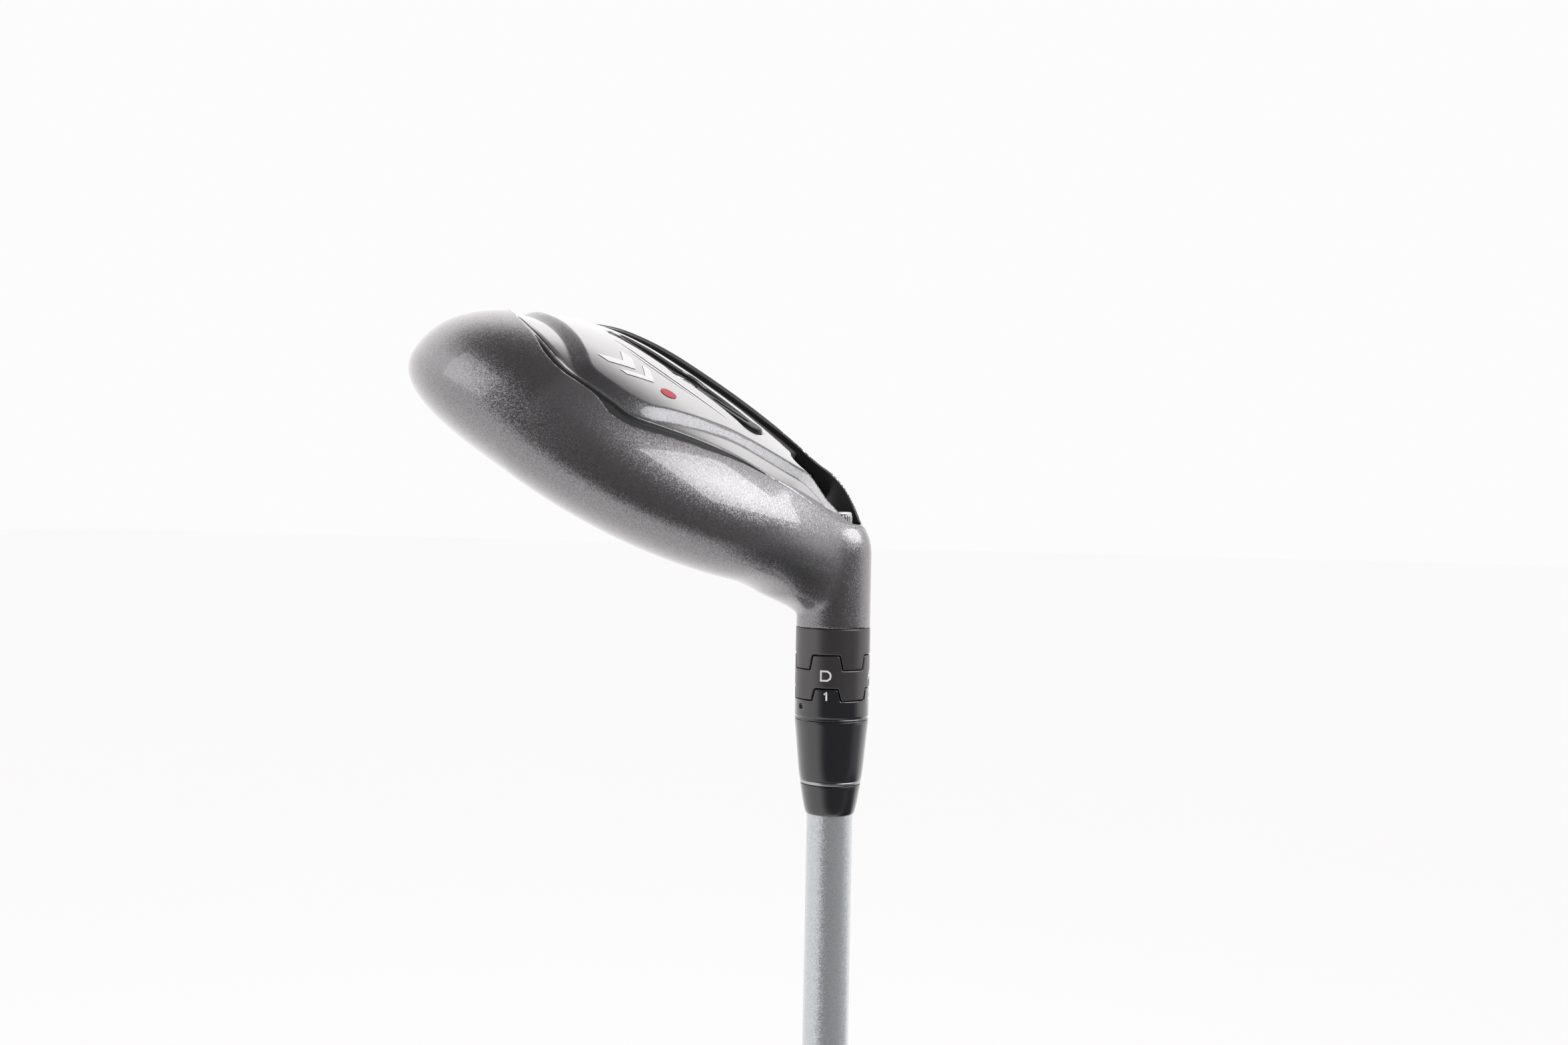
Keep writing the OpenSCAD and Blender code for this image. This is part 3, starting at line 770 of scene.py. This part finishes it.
def collar_field(p):
    base = band(p, HOSEL_R, BORE_R, COLLAR_TIP - 1, -0.05, 0.25)
    gap = tooth(p, UPPER_TURN, 50.2, COLLAR_TIP, COLLAR_ROOT)
    notch = soft_max(gap, p[:, 2] - COLLAR_ROOT - 0.1, 0.35)
    return soft_max(soft_max(base, COLLAR_TIP - p[:, 2], 0.3), -notch, 0.3)


def ring_field(p):
    base = band(p, HOSEL_R, BORE_R, RING_TIP, COLLAR_ROOT, 0.3)
    base = castle(p, base, UPPER_TURN, 47, COLLAR_TIP - 0.1, COLLAR_ROOT)
    notch = soft_max(tooth(p, LOWER_TURN, 43.2, RING_TIP, SLEEVE_TIP), p[:, 2] - SLEEVE_TIP - 0.1, 0.35)
    return soft_max(base, -notch, 0.3)


def sleeve_field(p):
    r = np.hypot(p[:, 0], p[:, 1])
    collar = band(p, HOSEL_R, 4.76, SLEEVE_LINE, SLEEVE_TIP, 0.3)
    collar = castle(p, collar, LOWER_TURN, 40, RING_TIP - 0.1, SLEEVE_TIP)
    line = np.hypot(r - HOSEL_R, p[:, 2] - SLEEVE_LINE - 0.5) - 0.2
    turn = math.radians(55)
    place = np.array([HOSEL_R * math.cos(turn), HOSEL_R * math.sin(turn), -15.6])
    dimple = np.linalg.norm(p - place, axis=1) - 0.62
    collar = soft_max(soft_max(collar, -line, 0.15), -dimple, 0.2)
    tip = band(p, 6.08, 4.76, SLEEVE_LINE + 1, 14.1, 0.5)
    web = soft_max(np.abs(p[:, 2] - 9.0) - 5.0, np.maximum(r - 6.0, 2.56 - r), 0.2)
    return soft_min(soft_min(collar, tip, 0.05), web, 0.1)


reach = HOSEL_R + 0.5
axis_piece("toothed_collar", collar_field, (-reach, -reach, -8.8), (reach, reach, 0.5), FINE, SATIN,
           "dark_satin_metal", "head", "hosel_collar")
axis_piece("lettered_ring", ring_field, (-reach, -reach, -14.9), (reach, reach, -4.7), FINE, SATIN,
           "dark_satin_metal", "ring", "hosel_ring")
axis_piece("numbered_sleeve", sleeve_field, (-reach, -reach, -19.5), (reach, reach, 15.2), FINE * 1.4,
           GLOSS, "black_gloss", "shaft_assembly", "shaft_sleeve")

# ---------------------------------------------------------------- turned pieces


def rounded(profile, segments=5):
    """Profile corners (r, z, rounding) with the corners rounded off."""
    out = []
    n = len(profile)
    for i in range(n):
        a, b, c = (np.array(profile[(i + k) % n][:2], float) for k in (-1, 0, 1))
        size = profile[i][2] if len(profile[i]) > 2 else 0
        la, lc = np.linalg.norm(a - b), np.linalg.norm(c - b)
        if size <= 0 or min(la, lc) < 1e-6:
            out.append(b)
            continue
        p, q = b + (a - b) * min(size / la, 0.45), b + (c - b) * min(size / lc, 0.45)
        for k in range(segments + 1):
            t = k / segments
            out.append((1 - t) ** 2 * p + 2 * t * (1 - t) * b + t * t * q)
    return np.array(out)


def lathe(name, profile, material, body, node, turns=160, relief=None):
    """A closed profile turned about the shaft axis; relief(z, angle) moves its outside in."""
    ring = rounded(profile)
    angle = np.linspace(0, 2 * math.pi, turns, endpoint=False)
    r, z = ring[:, 0][:, None], ring[:, 1][:, None] + 0 * angle[None]
    radius = r + 0 * angle[None]
    if relief is not None:
        radius = radius - relief(radius, z, angle[None] + 0 * z)
    pts = np.stack([radius * np.cos(angle), radius * np.sin(angle), z], -1).reshape(-1, 3)
    n, m = len(ring), turns
    i, j = np.meshgrid(np.arange(n), np.arange(m), indexing="ij")
    i2, j2 = (i + 1) % n, (j + 1) % m
    faces = np.stack([i * m + j, i * m + j2, i2 * m + j2, i2 * m + j], -1).reshape(-1, 4)
    area = np.sum((np.roll(ring[:, 0], -1) - ring[:, 0]) * (np.roll(ring[:, 1], -1) + ring[:, 1]))
    if area > 0:
        faces = faces[:, ::-1]
    obj = new_mesh(name, pts, faces, body, material)
    if node:
        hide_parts(node)
    return obj


ferrule_top = high("ferrule")[2]
ferrule_low = low("ferrule")[2]
TIP_R = 4.7
groove_z = ferrule_low + 6.45
lathe("tapered_ferrule", [
    (TIP_R + 0.05, ferrule_low), (4.85, ferrule_low, 0.12), (5.05, ferrule_low + 0.35, 0.5),
    (5.32, ferrule_low + 1.4, 1), (5.6, ferrule_low + 2.85, 1), (5.86, ferrule_low + 4.4, 1),
    (6.13, groove_z - 0.45, 0.12), (5.8, groove_z - 0.42), (5.8, groove_z + 0.42),
    (6.24, groove_z + 0.45, 0.12),
    (6.48, ferrule_low + 8.5, 1), (6.68, ferrule_low + 10.5, 1), (6.88, ferrule_low + 12.7, 1),
    (7.1, ferrule_low + 15, 1), (7.3, ferrule_low + 17, 0.9), (HOSEL_R - 0.02, ferrule_low + 18.4, 0.3),
    (HOSEL_R - 0.02, ferrule_top, 0.16), (TIP_R + 0.05, ferrule_top)],
    GLOSS, "shaft_assembly", "ferrule")
lathe("bright_trim_ring", [
    (5.85, groove_z - 0.38), (5.96, groove_z - 0.38, 0.06), (6.1, groove_z - 0.14, 0.06),
    (6.12, groove_z + 0.2, 0.06), (6.0, groove_z + 0.38, 0.06), (5.85, groove_z + 0.38)],
      TRIM, "shaft_assembly", "ferrule_trim")
seat = low("hosel_screw_washer")[2]
lathe("screw_washer", [
    (2.85, seat, 0.1), (4.55, seat, 0.1), (4.55, seat + 0.46, 0.15), (2.85, seat + 0.46, 0.15)],
      STEEL, "head", "hosel_screw_washer", 96)

# ---------------------------------------------------------------- grip

grip_low, grip_top = low("grip")[2], high("grip")[2]
CAP_R = (high("grip_cap")[0] - low("grip_cap")[0]) / 2
cap_top = high("grip_cap")[2]


def grip_outside(z):
    return np.interp(z, [grip_low, 12, 30, 60, 100, 160, 215, grip_top - 6, grip_top],
                     [12.75, 12.5, 12.05, 11.55, 11.05, 10.35, 9.65, 8.95, 8.4])


def shaft_radius(z):
    butt, parallel = 7.62, HOSEL_Z + 3.6 - 130
    return TIP_R + (butt - TIP_R) * np.clip((parallel - z) / (parallel - 60), 0, 1)


def grip_relief(r, z, angle):
    """Moulded diamond cut in bands, with plain rings between them."""
    outside = r > grip_outside(z) - 0.4
    band_z = (z - 14) % 58
    inside = (ramp(0, 1.2, band_z) * ramp(50, 48.8, band_z)
              * ramp(grip_top - 14, grip_top - 16, z) * ramp(11, 13, z))
    around = angle * 24 / (2 * math.pi)
    along = (z - 14) / 4.6
    cut = np.minimum(np.abs((along + around) % 1 - 0.5), np.abs((along - around) % 1 - 0.5))
    diamond = 0.42 * ramp(0.13, 0.03, cut)
    rings = (0.3 * ramp(0.16, 0.05, np.abs((z - 14 + 4) / 2.6 % 1 - 0.5))
             * ramp(50.5, 51.2, band_z) * ramp(57.6, 57, band_z))
    return outside * (inside * diamond + rings * (z < grip_top - 10) * (z > 12))


rows = int((grip_top - grip_low) / (0.42))
outer = [(float(grip_outside(z)), float(z)) for z in np.linspace(grip_low + 0.2, grip_top - 1.0, rows)]
inner_r = [(float(shaft_radius(z)) + 0.25, float(z)) for z in (grip_top, 60.0, grip_low)]
lathe("moulded_grip", [(12.3, grip_low)] + outer + [(8.3, grip_top - 0.4), (7.9, grip_top)] + inner_r, GRIP,
      "shaft_assembly", "grip", 240, grip_relief)
lathe("grip_end_cap", [
    (1.6, 0.0, 0.15), (8.2, 0.0, 0.1), (8.5, 0.35, 0.1), (9.1, 0.35, 0.1), (9.4, 0.0, 0.1),
    (CAP_R - 1.5, 0.0, 0.8),
    (CAP_R, 1.5, 0.8), (CAP_R, 3.2, 0.6), (CAP_R - 0.5, cap_top), (7.7, cap_top), (7.7, 2.4), (1.6, 2.4)],
    GRIP, "shaft_assembly", "grip_cap")

# ---------------------------------------------------------------- paint-filled marks


def on_sole(xy, lift=0.09):
    """Address points on the sole under the given X and Y."""
    xy = np.array(xy, float)
    lo_z, hi_z = np.full(len(xy), -3.0), np.full(len(xy), 14.0)
    for _ in range(26):
        mid = (lo_z + hi_z) / 2
        inside = head_field(np.column_stack([xy, mid])) < 0
        hi_z, lo_z = np.where(inside, mid, hi_z), np.where(inside, lo_z, mid)
    return np.column_stack([xy, hi_z - lift])


def mark(name, outline, material):
    """A thin inlay on the sole, from a 2-D outline in address X and Y."""
    bm = bmesh.new()
    bm.faces.new([bm.verts.new((x, y, 0)) for x, y in outline])
    bmesh.ops.triangulate(bm, faces=bm.faces)
    for _ in range(6):
        long_edges = [e for e in bm.edges if e.calc_length() > 0.7]
        if not long_edges:
            break
        bmesh.ops.subdivide_edges(bm, edges=long_edges, cuts=1)
        bmesh.ops.triangulate(bm, faces=bm.faces)
    xy = [v.co[:2] for v in bm.verts]
    bm.verts.index_update()
    faces = [[v.index for v in f.verts][::-1] for f in bm.faces]
    bm.free()
    return new_mesh(name, to_row(on_sole(xy)), faces, "head", material)


def stroke(points, widths):
    """Outline of a stroke of changing width along a smooth line."""
    pts = np.array(points, float)
    tangent = np.gradient(pts, axis=0)
    normal = np.column_stack([-tangent[:, 1], tangent[:, 0]])
    normal /= np.linalg.norm(normal, axis=1, keepdims=True)
    w = np.array(widths)[:, None] / 2
    return np.concatenate([pts + normal * w, (pts - normal * w)[::-1]])


def arc(a, b, sag, count=18):
    t = np.linspace(0, 1, count)
    a, b = np.array(a, float), np.array(b, float)
    side = np.array([-(b - a)[1], (b - a)[0]]) / np.linalg.norm(b - a)
    return a + (b - a) * t[:, None] + side * (sag * 4 * t * (1 - t))[:, None]


swell = np.sin(np.linspace(0.12, math.pi - 0.12, 18))
mark("sole_stripe_long", stroke(arc((50, -14.5), (20, -14.5), 1.4), 0.15 + 0.75 * swell), WHITE)
mark("sole_stripe_short", stroke(arc((45, -16.8), (27, -16.8), 0.9), 0.12 + 0.45 * swell), WHITE)
mark("sole_chevron_toe", [
    (41.5, -20.6), (44.5, -20.6), (40.6, -25.0), (44.0, -29.4), (41.0, -29.4), (37.2, -25.0)], WHITE)
mark("sole_chevron_heel", [
    (36.7, -20.6), (38.7, -20.6), (34.8, -25.0), (38.2, -29.4), (36.2, -29.4), (32.4, -25.0)], WHITE)
turn = np.linspace(0, 2 * math.pi, 40, endpoint=False)
mark("sole_dot", np.column_stack([28.6 + 1.7 * np.cos(turn), -25.0 + 1.7 * np.sin(turn)]), RED)


GLYPHS = {   # strokes of generic dial letters and numbers, in units of their height
    "A": [[(-0.46, -0.5), (0, 0.5), (0.46, -0.5)], [(-0.28, -0.14), (0.28, -0.14)]],
    "B": [[(-0.4, -0.5), (-0.4, 0.5), (0.18, 0.5), (0.36, 0.38), (0.36, 0.16), (0.18, 0.04), (-0.4, 0.04)],
          [(0.18, 0.04), (0.42, -0.1), (0.42, -0.36), (0.2, -0.5), (-0.4, -0.5)]],
    "C": [[(0.46, 0.3), (0.22, 0.5), (-0.2, 0.5), (-0.46, 0.24), (-0.46, -0.24), (-0.2, -0.5),
           (0.22, -0.5), (0.46, -0.3)]],
    "D": [[(-0.46, -0.5), (-0.46, 0.5), (0.16, 0.5), (0.42, 0.3), (0.5, 0), (0.42, -0.3), (0.16, -0.5),
           (-0.46, -0.5)]],
    "1": [[(-0.22, 0.24), (0.06, 0.5), (0.06, -0.5)]],
    "2": [[(-0.34, 0.26), (-0.16, 0.5), (0.18, 0.5), (0.36, 0.28), (0.3, 0.04), (-0.36, -0.5),
           (0.38, -0.5)]],
    "3": [[(-0.32, 0.32), (-0.12, 0.5), (0.2, 0.5), (0.34, 0.26), (0.16, 0.04), (-0.06, 0.04)],
          [(0.16, 0.04), (0.38, -0.2), (0.2, -0.5), (-0.14, -0.5), (-0.34, -0.3)]],
    "4": [[(0.16, -0.5), (0.16, 0.5), (-0.36, -0.2), (0.4, -0.2)]],
}


def ribbon(line, width):
    """Both sides of a stroke of even width, with mitred corners."""
    pts = np.array(line, float)
    closed = len(pts) > 2 and np.allclose(pts[0], pts[-1])
    step = np.diff(pts, axis=0)
    step /= np.linalg.norm(step, axis=1, keepdims=True)
    before, after = np.vstack([step[:1], step]), np.vstack([step, step[-1:]])
    if closed:
        before[0], after[-1] = step[-1], step[0]
    half = (before + after) / 2
    half /= np.maximum((half ** 2).sum(1, keepdims=True), 0.35)
    side = np.column_stack([-half[:, 1], half[:, 0]]) * width / 2
    return pts + side, pts - side


def wrapped_glyph(name, char, size, wide, z, angle, body):
    """A glyph laid on the round outside as a thin inlay with its top to the head's end."""
    pts, faces = [], []
    for line in GLYPHS[char]:
        fine = []
        scaled = np.array(line) * (size * wide, size)
        for a, b in zip(scaled[:-1], scaled[1:]):
            count = max(1, int(np.hypot(*(b - a)) / 0.35))
            fine += [a + (b - a) * k / count for k in range(count)]
        left, right = ribbon(fine + [scaled[-1]], 0.34)
        for k in range(len(left)):
            if k:
                m = len(pts)
                faces.append([m - 2, m, m + 1, m - 1])
            for x, y in (left[k], right[k]):
                a = math.radians(angle) + x / HOSEL_R
                pts.append(((HOSEL_R + 0.012) * math.cos(a), (HOSEL_R + 0.012) * math.sin(a), z + y))
    return new_mesh(name, pts, faces, body, WHITE)


for k, letter in enumerate("DABC"):
    wrapped_glyph("dial_letter_" + letter, letter, 1.85, 1.12, HOSEL_Z - 9.3, UPPER_TURN + 90 * k, "ring")
for k, digit in enumerate("1234"):
    wrapped_glyph("dial_number_" + digit, digit, 1.6, 1.1, HOSEL_Z - 13.35, LOWER_TURN + 90 * k,
                  "shaft_assembly")

# ---------------------------------------------------------------- stage, light and camera


def stage_floor():
    """A large pale floor under the grip's end."""
    side, count = 60, 24
    grid = np.linspace(-side, side, count + 1)
    gx, gy = np.meshgrid(grid, grid, indexing="ij")
    pts = np.stack([gx, gy, 0 * gx - 0.002], -1).reshape(-1, 3)
    i, j = np.meshgrid(np.arange(count), np.arange(count), indexing="ij")
    a = (i * (count + 1) + j).ravel()
    faces = np.stack([a, a + count + 1, a + count + 2, a + 1], -1)
    mesh = bpy.data.meshes.new("floor")
    mesh.from_pydata(pts.tolist(), [], faces.tolist())
    n = Nodes("pale_floor", roughness=0.9, emission_color=(1.0, 1.0, 1.0), emission_strength=FLOOR_GLOW)
    n.set(base_color=n.mix(n.noise(0.8), (0.895, 0.895, 0.895), (0.905, 0.905, 0.905)),
          specular_ior_level=0.0)
    mesh.materials.append(n.mat)
    obj = bpy.data.objects.new("floor", mesh)
    obj.visible_glossy = False
    bpy.context.scene.collection.objects.link(obj)


def soft_light(name, place, target, width, height, power):
    light = bpy.data.lights.new(name, "AREA")
    light.shape = "RECTANGLE"
    light.size, light.size_y = width, height
    light.energy = power
    obj = bpy.data.objects.new(name, light)
    obj.location = place
    obj.rotation_euler = (Vector(target) - Vector(place)).to_track_quat("-Z", "Y").to_euler()
    obj.visible_camera = False
    bpy.context.scene.collection.objects.link(obj)
    return obj


FLOOR_GLOW = 0.512     # brings the floor to the tone of the backdrop
stage_floor()
YAW = math.radians(22)
back = Vector((-math.sin(YAW), math.cos(YAW), 0))
right = Vector((-math.cos(YAW), -math.sin(YAW), 0))
centre = Vector((0, 0, (GROUND_Z - 11.33) * MM)) - right * 10.31 * MM
camera = bpy.data.cameras.new("camera")
camera.lens = 35.19
camera.sensor_width = 36
camera.clip_start = 0.01
camera.clip_end = 200
eye = bpy.data.objects.new("camera", camera)
eye.location = centre + back * 0.3089
turn_to = Matrix((right, Vector((0, 0, 1)), back)).transposed().to_4x4()
eye.rotation_euler = (turn_to @ Matrix.Rotation(math.radians(1.1), 4, "Z")).to_euler()
bpy.context.scene.collection.objects.link(eye)
bpy.context.scene.camera = eye

world = bpy.data.worlds.new("studio")
world.use_nodes = True
bpy.context.scene.world = world
tree = world.node_tree
sky = tree.nodes["Background"]
where = tree.nodes.new("ShaderNodeTexCoord")


def aim(turn, rise):
    """A direction from the head: degrees to the right of the camera's side, and up."""
    turn, rise = math.radians(turn), math.radians(rise)
    return ((back * math.cos(turn) + right * math.sin(turn)) * math.cos(rise)
            + Vector((0, 0, math.sin(rise)))).normalized()


def towards(direction, inner, outer):
    """1 towards a direction, 0 away from it."""
    dot = tree.nodes.new("ShaderNodeVectorMath")
    dot.operation = "DOT_PRODUCT"
    tree.links.new(where.outputs["Generated"], dot.inputs[0])
    dot.inputs[1].default_value = direction
    spread = tree.nodes.new("ShaderNodeMapRange")
    spread.interpolation_type = "SMOOTHSTEP"
    spread.inputs["From Min"].default_value = outer
    spread.inputs["From Max"].default_value = inner
    tree.links.new(dot.outputs["Value"], spread.inputs["Value"])
    return spread.outputs[0]


def mix_colour(fac, a, b):
    n = tree.nodes.new("ShaderNodeMix")
    n.data_type = "RGBA"
    tree.links.new(fac, n.inputs[0])
    for socket, value in ((n.inputs[6], a), (n.inputs[7], b)):
        if isinstance(value, tuple):
            socket.default_value = (*value, 1)
        else:
            tree.links.new(value, socket)
    return n.outputs[2]


# The room as the club mirrors it: a white backdrop behind and below, a dim room on the
# camera's side and above. Seen directly it is plain white.
sweep = -aim(20, 0) * 0.85 - Vector((0, 0, 0.25))
below = tree.nodes.new("ShaderNodeMath")
below.operation = "MULTIPLY"
tree.links.new(towards(sweep, -0.15, -0.55), below.inputs[0])
tree.links.new(towards(Vector((0, 0, 1)), 0.6, 0.9), below.inputs[1])
room = mix_colour(below.outputs[0], (0.175, 0.167, 0.168), (1.14, 1.12, 1.12))
room = mix_colour(towards(aim(95, -42), 0.96, 0.8), room, (0.11, 0.108, 0.11))
seen = tree.nodes.new("ShaderNodeLightPath").outputs["Is Camera Ray"]
tree.links.new(mix_colour(seen, room, (0.973, 0.973, 0.973)), sky.inputs["Color"])
sky.inputs["Strength"].default_value = 1.0

head_centre = Vector((0.03, 0.015, GROUND_Z * MM - 0.005))
soft_light("window", head_centre + aim(72, 37), head_centre, 0.95, 0.75, 9.0)
soft_light("fill", head_centre + aim(-75, 46), head_centre, 0.6, 0.45, 0.8)

bpy.context.scene.view_settings.view_transform = "Standard"
